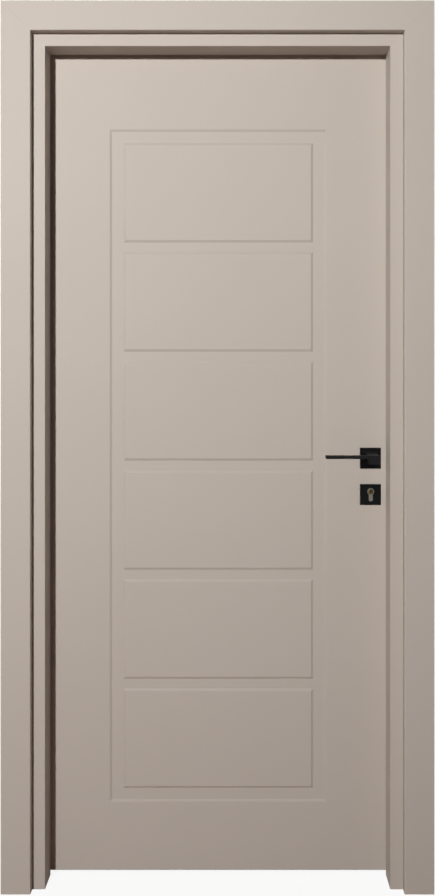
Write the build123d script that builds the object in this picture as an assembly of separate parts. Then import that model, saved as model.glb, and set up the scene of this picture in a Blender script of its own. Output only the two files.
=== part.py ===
# Interior door with its lining frame. A lacquered leaf with routed panels hangs on three butt
# hinges in mitred jambs with telescopic casings, and carries a mortise lock, levers and a key cylinder.
# X runs across the opening, Y from the push side to the pull side, and Z up from the floor.
from build123d import *
import os

os.makedirs("parts", exist_ok=True)

# Lining frame: the opening between the stops, and the rebate that takes the leaf
CLEAR_W = 840
CLEAR_H = 2052
STOP_DEPTH = 66
STOP_LAP = 14
STOP_ROUND = 1.5
SEAL_GAP = 2
GROOVE_WALL = 4.7
FIXING_R = 4
FIXING_HEIGHT_SHARES = (0.25, 0.75)

# Casings: an L section whose leg slides in a groove of the jamb
CASING_W = 72
CASING_SET = 31
CASING_PROUD = 22
CASING_PLATE = 16
CASING_LEG = 8
LEG_LAP = 12
LEG_CLEARANCE = 0.3
CASING_ROUND = 2

# Seals: a stem pressed in a kerf of the stop, with a flat bulb that meets the leaf
KERF_W = 3
KERF_DEPTH = 8
KERF_SET = 6
STEM_CLEARANCE = 0.2
BULB_W = 7
BULB_CLEARANCE = 0.3
BULB_ROUND = 0.8

# Leaf: two routed facings on a timber frame with a board core
LEAF_T = 40
LEAF_GAP = 3
FLOOR_GAP = 9.5
LEAF_ROUND = 1
SKIN_T = 8
STILE_W = 45
RAIL_W = 60
LOCK_BLOCK_W = 75
LOCK_BLOCK_LAP = 90

# Routed field with raised panels, measured between the middles of the slopes
FIELD_SIDE = 162
FIELD_TOP = 199
FIELD_BOTTOM = 174.5
FIELD_BORDER = 33.6
PANEL_GAP = 29.7
PANELS = 6
ROUTE_DEPTH = 2.5
ROUTE_SLOPE = 6

# Butt hinges
TOP_HINGE = 180
BOTTOM_HINGE = 220
WING_H = 100
WING_T = 2.5
WING_REACH = 30
KNUCKLE_R = 6.5
KNUCKLE_CLEARANCE = 0.3
PIN_R = 3.5
PIN_CLEARANCE = 0.05
PIN_HEAD = 4
PIN_HEAD_R = 5.2
POCKET_CLEARANCE = 0.2
HINGE_SCREW_SHARE = 0.75
HINGE_SCREW_SHARES = (-0.36, 0, 0.36)

# Countersunk screws
SCREW_HEAD_R = 4
SCREW_HEAD = 2.2
SCREW_R = 2
SCREW_L = 25
ROSETTE_SCREW_L = 13
SCREW_CLEARANCE = 0.1

# Mortise lock, placed from the leaf's lock edge and from the height of the levers
HANDLE_H = 1043
LOCK_CENTRES = 83
BACKSET = 50
FOREND_W = 22
FOREND_T = 3
FOREND_UP = 75
FOREND_DOWN = 160
FOREND_SCREW_INSET = 8
CASE_T = 16
CASE_DEPTH = 92
CASE_UP = 60
CASE_DOWN = 118
CASE_WALL = 1.5
MORTISE_CLEARANCE = 0.5

# Latch, follower and dead bolt inside the lock
LATCH_RISE = 35
LATCH_H = 26
LATCH_T = 11
LATCH_OUT = 12
LATCH_IN = 22
TAIL_H = 6
TAIL_T = 5
TAIL_LUG = 8
BOLT_DROP = 45
BOLT_H = 30
BOLT_T = 10
BOLT_THROW = 20
BOLT_IN = 32
BOLT_TAIL = 40
BOLT_TAIL_H = 14
BOLT_TAIL_T = 3
BOLT_SET = 0.5
SLIDE_CLEARANCE = 0.4
FOLLOWER_R = 11
FOLLOWER_T = 12
JOURNAL_R = 8.5
ARM_R = 17.5
ARM_W = 8
ARM_CLEARANCE = 0.3
RUNNING_CLEARANCE = 0.1

# Strike plate in the lock jamb
STRIKE_T = 2
STRIKE_REACH = 30
STRIKE_UP = 75
STRIKE_DOWN = 90
STRIKE_LIP = 3
STRIKE_CLEARANCE = 1
STRIKE_SCREW_INSET = 10
POCKET_SPARE = 3

# Key cylinder of the profile type
PROFILE_R = 8.5
PROFILE_WEB_W = 10
PROFILE_H = 33
CYLINDER_OUT = 2
PLUG_R = 6.5
PLUG_RUN = 0.2
CAM_T = 9.4
CAM_R = 8.2
CAM_REACH = 15
CAM_NOSE_W = 8
CAM_CLEARANCE = 0.5
KEYWAY_W = 2
KEYWAY_H = 9
KEYWAY_DEPTH = 20
CYLINDER_SCREW_R = 2.4
CYLINDER_SCREW_DROP = 20
PROFILE_CLEARANCE = 0.4

# Square rosettes: a thin cover over a base that is screwed to the leaf
ROSETTE = 52
ROSETTE_T = 9
ROSETTE_WALL = 1.6
ROSETTE_BEVEL = 0.8
BASE_CLEARANCE = 0.3
BASE_SCREW_SET = 17
HANDLE_HOLE_R = 11

# Levers on a square spindle
LEVER_PROUD = 58
LEVER_L = 116
LEVER_HEEL = 17
NECK_IN = 10
NECK_H = 21
BAR_T = 7.5
BAR_DEPTH = 22
BAR_ROUND = 10
LEVER_BEVEL = 0.6
COLLAR_R = 9
COLLAR_CLEARANCE = 0.5
SPINDLE = 8
SPINDLE_CLEARANCE = 0.1
SPINDLE_LAP = 24

# Cuts run this far past the faces that they open
OVERRUN = 1

# Places worked out from the sizes above, with depths from the jamb's push-side face
JAMB_T = CASING_SET + CASING_LEG + LEG_CLEARANCE + GROOVE_WALL
JAMB_DEPTH = STOP_DEPTH + SEAL_GAP + LEAF_T
MID_DEPTH = (JAMB_DEPTH + LEVER_PROUD - CASING_PROUD) / 2
REACH = CASING_SET + CASING_W
LEAF_LAP = STOP_LAP - LEAF_GAP
LEAF_HALF = CLEAR_W / 2 + LEAF_LAP
LEAF_TOP = CLEAR_H + LEAF_LAP
LEAF_FACE_Y = STOP_DEPTH + SEAL_GAP - MID_DEPTH
LEAF_MID_Y = LEAF_FACE_Y + LEAF_T / 2
REBATE_X = CLEAR_W / 2 + STOP_LAP
CORE_T = LEAF_T - 2 * SKIN_T
HINGE_X = -(REBATE_X - LEAF_GAP / 2)
HINGE_Y = JAMB_DEPTH + KNUCKLE_R + KNUCKLE_CLEARANCE - MID_DEPTH
HINGE_TOP_Z = LEAF_TOP - TOP_HINGE
HINGE_BOTTOM_Z = FLOOR_GAP + BOTTOM_HINGE
HINGE_HEIGHTS = {
    "bottom": HINGE_BOTTOM_Z,
    "middle": (HINGE_BOTTOM_Z + HINGE_TOP_Z) / 2,
    "top": HINGE_TOP_Z,
}
SPINDLE_X = LEAF_HALF - BACKSET
KEY_H = HANDLE_H - LOCK_CENTRES
KEY_ROSETTE_H = KEY_H + PROFILE_R - PROFILE_H / 2


def depth(distance):
    """Y of a depth measured from the push-side face of the jambs."""
    return distance - MID_DEPTH


def span_box(x_span, y_span, z_span):
    """Block between two ends along each axis."""
    spans = [sorted(span) for span in (x_span, y_span, z_span)]
    middle = [(low + high) / 2 for low, high in spans]
    return Pos(*middle) * Box(*[high - low for low, high in spans])


def around(middle, size):
    """Both ends of a size that is centred on a place."""
    return (middle - size / 2, middle + size / 2)


def outline(points, corners=(), radius=0):
    """Closed outline whose listed corners are rounded."""
    face = make_face(Polyline(*points, close=True))
    if not corners:
        return face
    places = [Vector(*corner) for corner in corners]
    rounded = [v for v in face.vertices() if min((Vector(v) - p).length for p in places) < radius]
    return fillet(rounded, radius)


def turned(points):
    """Body of revolution about Z from an outline of radii and heights."""
    return revolve(Plane.XZ * make_face(Polyline(*points, close=True)), Axis.Z)


def write(name, *solids):
    """One STEP file for each named piece or group of like pieces."""
    shape = solids[0] if len(solids) == 1 else Compound(children=list(solids))
    export_step(shape, f"parts/{name}.step")


# Mitred lengths: a section of (distance from the clear opening, depth) run up both sides and over the head


def mitred_lengths(section):
    """Hinge side, lock side and head of one section, cut at 45 degrees in the corners."""
    half = CLEAR_W / 2
    corners = [
        (-half, CLEAR_H),
        (-half - REACH, CLEAR_H + REACH),
        (half + REACH, CLEAR_H + REACH),
        (half, CLEAR_H),
    ]
    wedge = extrude(Plane.XZ * outline(corners), JAMB_DEPTH + REACH, both=True)
    hinge_plane = Plane((-half, -MID_DEPTH, 0), x_dir=(-1, 0, 0), z_dir=(0, 0, -1))
    lock_plane = Plane((half, -MID_DEPTH, 0), x_dir=(1, 0, 0), z_dir=(0, 0, 1))
    head_plane = Plane((0, -MID_DEPTH, CLEAR_H), x_dir=(0, 0, 1), z_dir=(-1, 0, 0))
    hinge_side = extrude(hinge_plane * section, -(CLEAR_H + REACH)) - wedge
    lock_side = extrude(lock_plane * section, CLEAR_H + REACH) - wedge
    head = extrude(head_plane * section, half + REACH, both=True) & wedge
    return hinge_side, lock_side, head


def jamb_section():
    """Rebated jamb with a groove for each casing leg and a kerf for the seal."""
    groove = (CASING_SET - LEG_CLEARANCE, CASING_SET + CASING_LEG + LEG_CLEARANCE)
    groove_depth = LEG_LAP + LEG_CLEARANCE
    kerf = (KERF_SET, KERF_SET + KERF_W)
    points = [
        (0, 0),
        (groove[0], 0),
        (groove[0], groove_depth),
        (groove[1], groove_depth),
        (groove[1], 0),
        (JAMB_T, 0),
        (JAMB_T, JAMB_DEPTH),
        (groove[1], JAMB_DEPTH),
        (groove[1], JAMB_DEPTH - groove_depth),
        (groove[0], JAMB_DEPTH - groove_depth),
        (groove[0], JAMB_DEPTH),
        (STOP_LAP, JAMB_DEPTH),
        (STOP_LAP, STOP_DEPTH),
        (kerf[1], STOP_DEPTH),
        (kerf[1], STOP_DEPTH - KERF_DEPTH),
        (kerf[0], STOP_DEPTH - KERF_DEPTH),
        (kerf[0], STOP_DEPTH),
        (0, STOP_DEPTH),
    ]
    return outline(points, [(0, 0), (0, STOP_DEPTH)], STOP_ROUND)


def casing_section(face, side):
    """L section with its face at a depth and its leg towards the jamb, along side."""
    back = face + side * CASING_PLATE
    leg_end = face + side * (CASING_PROUD + LEG_LAP)
    points = [
        (CASING_SET, face),
        (REACH, face),
        (REACH, back),
        (CASING_SET + CASING_LEG, back),
        (CASING_SET + CASING_LEG, leg_end),
        (CASING_SET, leg_end),
    ]
    return outline(points, [(CASING_SET, face), (REACH, face)], CASING_ROUND)


def seal_section():
    """Stem in the kerf and a flat bulb over the stop's shoulder."""
    middle = KERF_SET + KERF_W / 2
    stem = KERF_W / 2 - STEM_CLEARANCE
    bulb_top = STOP_DEPTH + SEAL_GAP - BULB_CLEARANCE
    points = [
        (middle - stem, STOP_DEPTH - KERF_DEPTH + STEM_CLEARANCE),
        (middle + stem, STOP_DEPTH - KERF_DEPTH + STEM_CLEARANCE),
        (middle + stem, STOP_DEPTH),
        (middle + BULB_W / 2, STOP_DEPTH),
        (middle + BULB_W / 2, bulb_top),
        (middle - BULB_W / 2, bulb_top),
        (middle - BULB_W / 2, STOP_DEPTH),
        (middle - stem, STOP_DEPTH),
    ]
    crown = [(middle + BULB_W / 2, bulb_top), (middle - BULB_W / 2, bulb_top)]
    return outline(points, crown, BULB_ROUND)


# Screws


def screw(length, grow=0, head_r=SCREW_HEAD_R, shank_r=SCREW_R):
    """Countersunk screw pointing down Z from its head's face; grow makes the hole for it."""
    points = [
        (0, 0),
        (head_r + grow, 0),
        (shank_r + grow, -SCREW_HEAD),
        (shank_r + grow, -length - grow),
        (0, -length - grow),
    ]
    return turned(points)


def set_along(shape, place, direction):
    """Shape that points down Z, set at a place so that it points along a direction."""
    return Plane(place, z_dir=-Vector(*direction)) * shape


# Hinges


def hinge_screw_places(side, height):
    """Head centres on one wing; side is -1 for the jamb's wing and 1 for the leaf's."""
    x = HINGE_X + side * LEAF_GAP / 2
    y = depth(JAMB_DEPTH - HINGE_SCREW_SHARE * WING_REACH)
    return [(x, y, height + share * WING_H) for share in HINGE_SCREW_SHARES]


def hinge_pocket(side, height):
    """Recess for one wing, open to the gap and to the pull side."""
    face = HINGE_X + side * LEAF_GAP / 2
    x_span = (face - side * OVERRUN, face + side * WING_T)
    y_span = (depth(JAMB_DEPTH - WING_REACH - POCKET_CLEARANCE), depth(JAMB_DEPTH + OVERRUN))
    return span_box(x_span, y_span, around(height, WING_H + 2 * POCKET_CLEARANCE))


def hinge_wing(side, height):
    """Wing rolled into its knuckles: the outer two on the jamb's wing, the middle one on the leaf's."""
    face = HINGE_X + side * LEAF_GAP / 2
    wing_y = (depth(JAMB_DEPTH - WING_REACH), HINGE_Y)
    plate = span_box((face, face + side * WING_T), wing_y, around(height, WING_H))
    axis = Pos(HINGE_X, HINGE_Y, height)
    middle_l = WING_H / 3
    barrel = axis * Cylinder(KNUCKLE_R, WING_H)
    middle_room = axis * Cylinder(KNUCKLE_R + KNUCKLE_CLEARANCE, middle_l + KNUCKLE_CLEARANCE)
    if side < 0:
        wing = plate + barrel - middle_room
    else:
        outer = Cylinder(KNUCKLE_R + KNUCKLE_CLEARANCE, WING_H)
        outer -= Cylinder(KNUCKLE_R + OVERRUN, middle_l - KNUCKLE_CLEARANCE)
        wing = plate + axis * Cylinder(KNUCKLE_R, middle_l - KNUCKLE_CLEARANCE) - axis * outer
    wing -= axis * Cylinder(PIN_R + PIN_CLEARANCE, WING_H + OVERRUN)
    for place in hinge_screw_places(side, height):
        wing -= set_along(screw(SCREW_L, SCREW_CLEARANCE), place, (side, 0, 0))
    return wing


def hinge_pin(height):
    """Pin with a turned head under and over the knuckles."""
    end = WING_H / 2
    points = [
        (0, -end - PIN_HEAD),
        (PIN_R, -end - PIN_HEAD),
        (PIN_HEAD_R, -end - PIN_HEAD / 2),
        (PIN_HEAD_R, -end),
        (PIN_R, -end),
        (PIN_R, end),
        (PIN_HEAD_R, end),
        (PIN_HEAD_R, end + PIN_HEAD / 2),
        (PIN_R, end + PIN_HEAD),
        (0, end + PIN_HEAD),
    ]
    return Pos(HINGE_X, HINGE_Y, height) * turned(points)


def hinge_screws(side):
    """All the screws of the jamb's wings or of the leaf's wings."""
    places = [place for height in HINGE_HEIGHTS.values() for place in hinge_screw_places(side, height)]
    return [set_along(screw(SCREW_L), place, (side, 0, 0)) for place in places]


def cut_for_hinges(shape, side):
    """Wing pockets and screw holes in the jamb or in a piece of the leaf."""
    for height in HINGE_HEIGHTS.values():
        shape -= hinge_pocket(side, height)
        for place in hinge_screw_places(side, height):
            shape -= set_along(screw(SCREW_L, SCREW_CLEARANCE), place, (side, 0, 0))
    return shape


# Lock, with places taken inwards from the lock edge, up from the levers and across from the leaf's middle


def lock_box(inward, up, thick):
    """Block in the lock, centred on the leaf's middle across its thickness."""
    x_span = [LEAF_HALF - distance for distance in inward]
    return span_box(x_span, around(LEAF_MID_Y, thick), [HANDLE_H + rise for rise in up])


def across(shape_face, thick, x, z):
    """Face drawn in X and Z, extruded through a thickness about the leaf's middle."""
    plane = Plane((x, LEAF_MID_Y, z), x_dir=(1, 0, 0), z_dir=(0, -1, 0))
    return extrude(plane * shape_face, thick / 2, both=True)


def profile_face(grow=0):
    """Cylinder profile: a round head over a narrow web with a round foot."""
    web_r = PROFILE_WEB_W / 2 + grow
    foot = PROFILE_H - PROFILE_R - PROFILE_WEB_W / 2
    web = Pos(0, -foot / 2) * Rectangle(2 * web_r, foot)
    return Circle(PROFILE_R + grow) + web + Pos(0, -foot) * Circle(web_r)


LATCH_UP = around(LATCH_RISE, LATCH_H)
BOLT_UP = around(-BOLT_DROP, BOLT_H)
KEY_UP = -LOCK_CENTRES
CYLINDER_L = LEAF_T + 2 * (ROSETTE_T + CYLINDER_OUT)
CYLINDER_SCREW_UP = KEY_UP - CYLINDER_SCREW_DROP


def wider(span, clearance):
    """Span with a clearance at both ends."""
    return (span[0] - clearance, span[1] + clearance)


def lock_openings(clearance):
    """Ways for the latch and the dead bolt out through the lock's front."""
    inward = (-OVERRUN, FOREND_T + CASE_WALL + OVERRUN)
    latch_way = lock_box(inward, wider(LATCH_UP, clearance), LATCH_T + 2 * clearance)
    bolt_way = lock_box(inward, wider(BOLT_UP, clearance), BOLT_T + 2 * clearance)
    return latch_way + bolt_way


def forend_screw_places():
    """Head centres of the two screws that hold the lock in the leaf."""
    rises = (FOREND_UP - FOREND_SCREW_INSET, FOREND_SCREW_INSET - FOREND_DOWN)
    return [(LEAF_HALF, LEAF_MID_Y, HANDLE_H + rise) for rise in rises]


def cylinder_screw(grow=0):
    """Long screw from the forend into the foot of the key cylinder."""
    length = BACKSET + PROFILE_WEB_W / 2
    shape = screw(length, grow, SCREW_HEAD_R, CYLINDER_SCREW_R)
    place = (LEAF_HALF, LEAF_MID_Y, HANDLE_H + CYLINDER_SCREW_UP)
    return set_along(shape, place, (-1, 0, 0))


def lock_forend():
    """Face plate of the lock, flush in the leaf's edge."""
    plate = lock_box((0, FOREND_T), (-FOREND_DOWN, FOREND_UP), FOREND_W)
    plate -= lock_openings(SLIDE_CLEARANCE)
    for place in forend_screw_places():
        plate -= set_along(screw(SCREW_L, SCREW_CLEARANCE), place, (-1, 0, 0))
    return plate - cylinder_screw(SCREW_CLEARANCE)


def lock_case():
    """Pressed steel box with round bearings for the follower and the cylinder's profile cut through."""
    outer = lock_box((FOREND_T, CASE_DEPTH), (-CASE_DOWN, CASE_UP), CASE_T)
    inward = (FOREND_T + CASE_WALL, CASE_DEPTH - CASE_WALL)
    case = outer - lock_box(inward, (CASE_WALL - CASE_DOWN, CASE_UP - CASE_WALL), CASE_T - 2 * CASE_WALL)
    case -= lock_openings(SLIDE_CLEARANCE)
    case -= across(Circle(JOURNAL_R + RUNNING_CLEARANCE), LEAF_T, SPINDLE_X, HANDLE_H)
    case -= across(profile_face(PROFILE_CLEARANCE), LEAF_T, SPINDLE_X, KEY_H)
    return case - cylinder_screw(SCREW_CLEARANCE)


def latch_bolt():
    """Sprung latch: a head bevelled on the closing side, a tail, and a lug for the follower's arm."""
    head = lock_box((-LATCH_OUT, LATCH_IN), LATCH_UP, LATCH_T)
    tip = LEAF_HALF + LATCH_OUT
    bevel = [
        (tip, LEAF_MID_Y + LATCH_T / 2),
        (tip, LEAF_MID_Y - LATCH_T / 2),
        (tip - LATCH_OUT, LEAF_MID_Y - LATCH_T / 2),
    ]
    head -= Pos(0, 0, HANDLE_H + LATCH_UP[0]) * extrude(outline(bevel), LATCH_H)
    lug_front = BACKSET + ARM_W / 2 + ARM_CLEARANCE
    tail = lock_box((LATCH_IN, lug_front + TAIL_LUG), (LATCH_UP[0], LATCH_UP[0] + TAIL_H), TAIL_T)
    lug_foot = (FOLLOWER_R + ARM_R) / 2 - SLIDE_CLEARANCE
    lug = lock_box((lug_front, lug_front + TAIL_LUG), (lug_foot, LATCH_UP[0]), TAIL_T)
    return head + tail + lug


def dead_bolt():
    """Bolt with its head just under the forend's face, and a flat tail."""
    head = lock_box((BOLT_SET, BOLT_SET + BOLT_IN), BOLT_UP, BOLT_T)
    tail_end = BOLT_SET + BOLT_IN + BOLT_TAIL
    return head + lock_box((BOLT_SET + BOLT_IN, tail_end), around(-BOLT_DROP, BOLT_TAIL_H), BOLT_TAIL_T)


def follower():
    """Hub that the spindle turns, with an arm that draws the latch."""
    hub = across(Circle(FOLLOWER_R), FOLLOWER_T, SPINDLE_X, HANDLE_H)
    hub += across(Circle(JOURNAL_R), CASE_T, SPINDLE_X, HANDLE_H)
    hub += span_box(around(SPINDLE_X, ARM_W), around(LEAF_MID_Y, TAIL_T), (HANDLE_H, HANDLE_H + ARM_R))
    hole = Rectangle(SPINDLE + 2 * SPINDLE_CLEARANCE, SPINDLE + 2 * SPINDLE_CLEARANCE)
    return hub - across(hole, LEAF_T, SPINDLE_X, HANDLE_H)


# Key cylinder


def cylinder_body():
    """Profile body with a bore for both plugs and a gap for the cam over its foot."""
    body = across(profile_face(), CYLINDER_L, SPINDLE_X, KEY_H)
    body -= across(Circle(PLUG_R + RUNNING_CLEARANCE), CYLINDER_L + OVERRUN, SPINDLE_X, KEY_H)
    gap_t = CAM_T + 2 * CAM_CLEARANCE
    gap_z = (KEY_H - CAM_REACH - CAM_CLEARANCE, KEY_H + PROFILE_R + OVERRUN)
    body -= span_box(around(SPINDLE_X, 2 * PROFILE_R + OVERRUN), around(LEAF_MID_Y, gap_t), gap_z)
    return body - cylinder_screw(SCREW_CLEARANCE)


def cylinder_plug(side):
    """Turning plug with a keyway in its outer end; side is -1 on the push side and 1 on the pull side."""
    inner = CAM_T / 2 + PLUG_RUN
    outer = CYLINDER_L / 2
    plane = Plane((SPINDLE_X, LEAF_MID_Y + side * inner, KEY_H), x_dir=(1, 0, 0), z_dir=(0, side, 0))
    plug = extrude(plane * Circle(PLUG_R), outer - inner)
    way_y = (LEAF_MID_Y + side * (outer - KEYWAY_DEPTH), LEAF_MID_Y + side * (outer + OVERRUN))
    return plug - span_box(around(SPINDLE_X, KEYWAY_W), way_y, around(KEY_H, KEYWAY_H))


def cylinder_cam():
    """Cam between the plugs, with its nose down inside the profile."""
    nose = Pos(0, -CAM_REACH / 2) * Rectangle(CAM_NOSE_W, CAM_REACH)
    swept = (Circle(CAM_R) + nose) & Circle(CAM_REACH)
    return across(swept, CAM_T, SPINDLE_X, KEY_H)


# Strike plate in the lock jamb


def strike_box(outward, up, thick):
    """Block at the strike, measured outwards from the rebate's face."""
    x_span = [REBATE_X + distance for distance in outward]
    return span_box(x_span, around(LEAF_MID_Y, thick), [HANDLE_H + rise for rise in up])


def strike_plate(spare=0):
    """Flat plate with a lip past the jamb's arris; spare widens it into its recess."""
    y_span = (depth(JAMB_DEPTH - STRIKE_REACH - spare), depth(JAMB_DEPTH))
    plate_z = (HANDLE_H - STRIKE_DOWN - spare, HANDLE_H + STRIKE_UP + spare)
    x_span = (REBATE_X, REBATE_X + STRIKE_T)
    plate = span_box(x_span, y_span, plate_z)
    lip_z = [HANDLE_H + rise for rise in wider(LATCH_UP, STRIKE_CLEARANCE + spare)]
    return plate + span_box(x_span, (y_span[1], depth(JAMB_DEPTH + STRIKE_LIP)), lip_z)


def strike_pockets(latch_depth, bolt_depth):
    """Ways for the latch and the dead bolt into the jamb."""
    start = -OVERRUN
    latch_t = LATCH_T + 2 * STRIKE_CLEARANCE
    bolt_t = BOLT_T + 2 * STRIKE_CLEARANCE
    latch_way = strike_box((start, latch_depth), wider(LATCH_UP, STRIKE_CLEARANCE), latch_t)
    return latch_way + strike_box((start, bolt_depth), wider(BOLT_UP, STRIKE_CLEARANCE), bolt_t)


def strike_screw_places():
    """Head centres of the strike's two screws."""
    rises = (STRIKE_UP - STRIKE_SCREW_INSET, STRIKE_SCREW_INSET - STRIKE_DOWN)
    return [(REBATE_X, LEAF_MID_Y, HANDLE_H + rise) for rise in rises]


# Rosettes and levers, modelled on the push side; the pull side mirrors them in the leaf's middle plane

PULL_MIRROR = Plane((0, LEAF_MID_Y, 0), z_dir=(0, 1, 0))


def off_leaf(distance):
    """Y at a distance out from the leaf's push-side face."""
    return LEAF_FACE_Y - distance


def from_face(face, near, far, x, z):
    """Face drawn in X and Z, extruded between two distances out from the leaf."""
    plane = Plane((x, off_leaf(near), z), x_dir=(1, 0, 0), z_dir=(0, -1, 0))
    return extrude(plane * face, far - near)


def rosette_cover(hole, z):
    """Thin square cover with bevelled outer edges."""
    cover = from_face(Rectangle(ROSETTE, ROSETTE), 0, ROSETTE_T, SPINDLE_X, z)
    front = cover.faces().sort_by(Axis.Y)[0]
    sides = cover.edges().filter_by(Axis.Y)
    cover = chamfer(front.edges() + sides, ROSETTE_BEVEL)
    inner = ROSETTE - 2 * ROSETTE_WALL
    cover -= from_face(Rectangle(inner, inner), 0, ROSETTE_T - ROSETTE_WALL, SPINDLE_X, z)
    return cover - from_face(hole, 0, ROSETTE_T + OVERRUN, SPINDLE_X, z)


def base_screw_places(z):
    """Head centres in two opposite corners of a rosette's base."""
    y = off_leaf(ROSETTE_T - ROSETTE_WALL - BASE_CLEARANCE)
    return [(SPINDLE_X + s * BASE_SCREW_SET, y, z + s * BASE_SCREW_SET) for s in (-1, 1)]


def rosette_base(hole, z):
    """Base plate that the cover clips over."""
    size = ROSETTE - 2 * ROSETTE_WALL - 2 * BASE_CLEARANCE
    base = from_face(Rectangle(size, size), 0, ROSETTE_T - ROSETTE_WALL - BASE_CLEARANCE, SPINDLE_X, z)
    base -= from_face(hole, 0, ROSETTE_T, SPINDLE_X, z)
    for place in base_screw_places(z):
        base -= set_along(screw(ROSETTE_SCREW_L, SCREW_CLEARANCE), place, (0, 1, 0))
    return base


def bevelled(block, start):
    """Part of a lever with bevels on all its edges but those at its root."""
    return chamfer([e for e in block.edges() if e.center().Y < off_leaf(start + OVERRUN)], LEVER_BEVEL)


def lever():
    """Flat bar level with the top of a square neck, on a round collar that takes the spindle."""
    neck_start = ROSETTE_T + COLLAR_CLEARANCE
    top = HANDLE_H + NECK_H / 2
    plan = [
        (SPINDLE_X + LEVER_HEEL, off_leaf(neck_start)),
        (SPINDLE_X + LEVER_HEEL, off_leaf(LEVER_PROUD)),
        (SPINDLE_X - LEVER_L, off_leaf(LEVER_PROUD)),
        (SPINDLE_X - LEVER_L, off_leaf(LEVER_PROUD - BAR_DEPTH)),
        (SPINDLE_X - NECK_IN, off_leaf(LEVER_PROUD - BAR_DEPTH)),
        (SPINDLE_X - NECK_IN, off_leaf(neck_start)),
    ]
    bar = Pos(0, 0, top - BAR_T) * extrude(outline(plan, [plan[4]], BAR_ROUND), BAR_T)
    neck_x = (SPINDLE_X - NECK_IN, SPINDLE_X + LEVER_HEEL)
    neck_y = (off_leaf(neck_start), off_leaf(LEVER_PROUD))
    neck = span_box(neck_x, neck_y, (top - NECK_H, top))
    body = bevelled(bar, neck_start) + bevelled(neck, neck_start)
    body += from_face(Circle(COLLAR_R), COLLAR_CLEARANCE, neck_start, SPINDLE_X, HANDLE_H)
    socket = Rectangle(SPINDLE + 2 * SPINDLE_CLEARANCE, SPINDLE + 2 * SPINDLE_CLEARANCE)
    return body - from_face(socket, 0, ROSETTE_T + SPINDLE_LAP, SPINDLE_X, HANDLE_H)


def spindle():
    """Square bar through the follower into both levers."""
    length = LEAF_T + 2 * (ROSETTE_T + SPINDLE_LAP - COLLAR_CLEARANCE)
    return across(Rectangle(SPINDLE, SPINDLE), length, SPINDLE_X, HANDLE_H)


# Leaf


def tapered_block(width, height, z, flare):
    """Block from the leaf's face to the route's depth, wider by the flare there and narrower below."""
    front = Plane((0, LEAF_FACE_Y, z), x_dir=(1, 0, 0), z_dir=(0, -1, 0))
    back = Plane((0, LEAF_FACE_Y + ROUTE_DEPTH, z), x_dir=(1, 0, 0), z_dir=(0, -1, 0))
    mouth = front * Rectangle(width + flare, height + flare)
    floor = back * Rectangle(width - flare, height - flare)
    return loft([floor, mouth], ruled=True)


def routed_field():
    """Recess with sloped edges, less the raised panels that stand in it."""
    field_w = 2 * (LEAF_HALF - FIELD_SIDE)
    low = FLOOR_GAP + FIELD_BOTTOM
    high = LEAF_TOP - FIELD_TOP
    panel_w = field_w - 2 * FIELD_BORDER
    panel_h = (high - low - 2 * FIELD_BORDER - (PANELS - 1) * PANEL_GAP) / PANELS
    field = tapered_block(field_w, high - low, (low + high) / 2, ROUTE_SLOPE)
    for n in range(PANELS):
        z = low + FIELD_BORDER + panel_h / 2 + n * (panel_h + PANEL_GAP)
        field -= tapered_block(panel_w, panel_h, z, -ROUTE_SLOPE)
    return field


def handle_holes():
    """Ways through the leaf for the spindle and for the key cylinder."""
    through = LEAF_T + OVERRUN
    ways = across(Circle(HANDLE_HOLE_R), through, SPINDLE_X, HANDLE_H)
    return ways + across(profile_face(PROFILE_CLEARANCE), through, SPINDLE_X, KEY_H)


def skin():
    """Push-side facing with rounded edges, the routed field and the holes for the fittings."""
    y_span = (LEAF_FACE_Y, LEAF_FACE_Y + SKIN_T)
    board = span_box((-LEAF_HALF, LEAF_HALF), y_span, (FLOOR_GAP, LEAF_TOP))
    board = fillet(board.faces().sort_by(Axis.Y)[0].edges(), LEAF_ROUND)
    board -= routed_field()
    for place in base_screw_places(HANDLE_H) + base_screw_places(KEY_ROSETTE_H):
        board -= set_along(screw(ROSETTE_SCREW_L, SCREW_CLEARANCE), place, (0, 1, 0))
    return board - handle_holes()


def core_block(x_span, z_span):
    """Piece of the leaf's inside, between the facings."""
    return span_box(x_span, around(LEAF_MID_Y, CORE_T), z_span)


def lock_mortise():
    """Room for the lock's case and its forend."""
    case_up = wider((-CASE_DOWN, CASE_UP), MORTISE_CLEARANCE)
    case_in = (-OVERRUN, CASE_DEPTH + MORTISE_CLEARANCE)
    mortise = lock_box(case_in, case_up, CASE_T + 2 * MORTISE_CLEARANCE)
    forend_up = wider((-FOREND_DOWN, FOREND_UP), POCKET_CLEARANCE)
    mortise += lock_box((-OVERRUN, FOREND_T), forend_up, FOREND_W + 2 * POCKET_CLEARANCE)
    for place in forend_screw_places():
        mortise += set_along(screw(SCREW_L, SCREW_CLEARANCE), place, (-1, 0, 0))
    return mortise


# Lining frame: jambs, casings and seals

hinge_jamb, lock_jamb, head_jamb = mitred_lengths(jamb_section())
hinge_jamb = cut_for_hinges(hinge_jamb, -1)
recess = strike_plate(POCKET_CLEARANCE) + strike_pockets(
    LATCH_OUT - LEAF_GAP + POCKET_SPARE, BOLT_THROW - LEAF_GAP + POCKET_SPARE
)
lock_jamb -= recess
for place in strike_screw_places():
    lock_jamb -= set_along(screw(SCREW_L, SCREW_CLEARANCE), place, (1, 0, 0))
for share in FIXING_HEIGHT_SHARES:
    bore = Pos(0, LEAF_MID_Y, share * CLEAR_H) * Rot(0, 90, 0) * Cylinder(FIXING_R, CLEAR_W + 2 * REACH)
    hinge_jamb -= bore
    lock_jamb -= bore
for name, jamb in (("hinge_jamb", hinge_jamb), ("lock_jamb", lock_jamb), ("head_jamb", head_jamb)):
    write(name, jamb)

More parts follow.
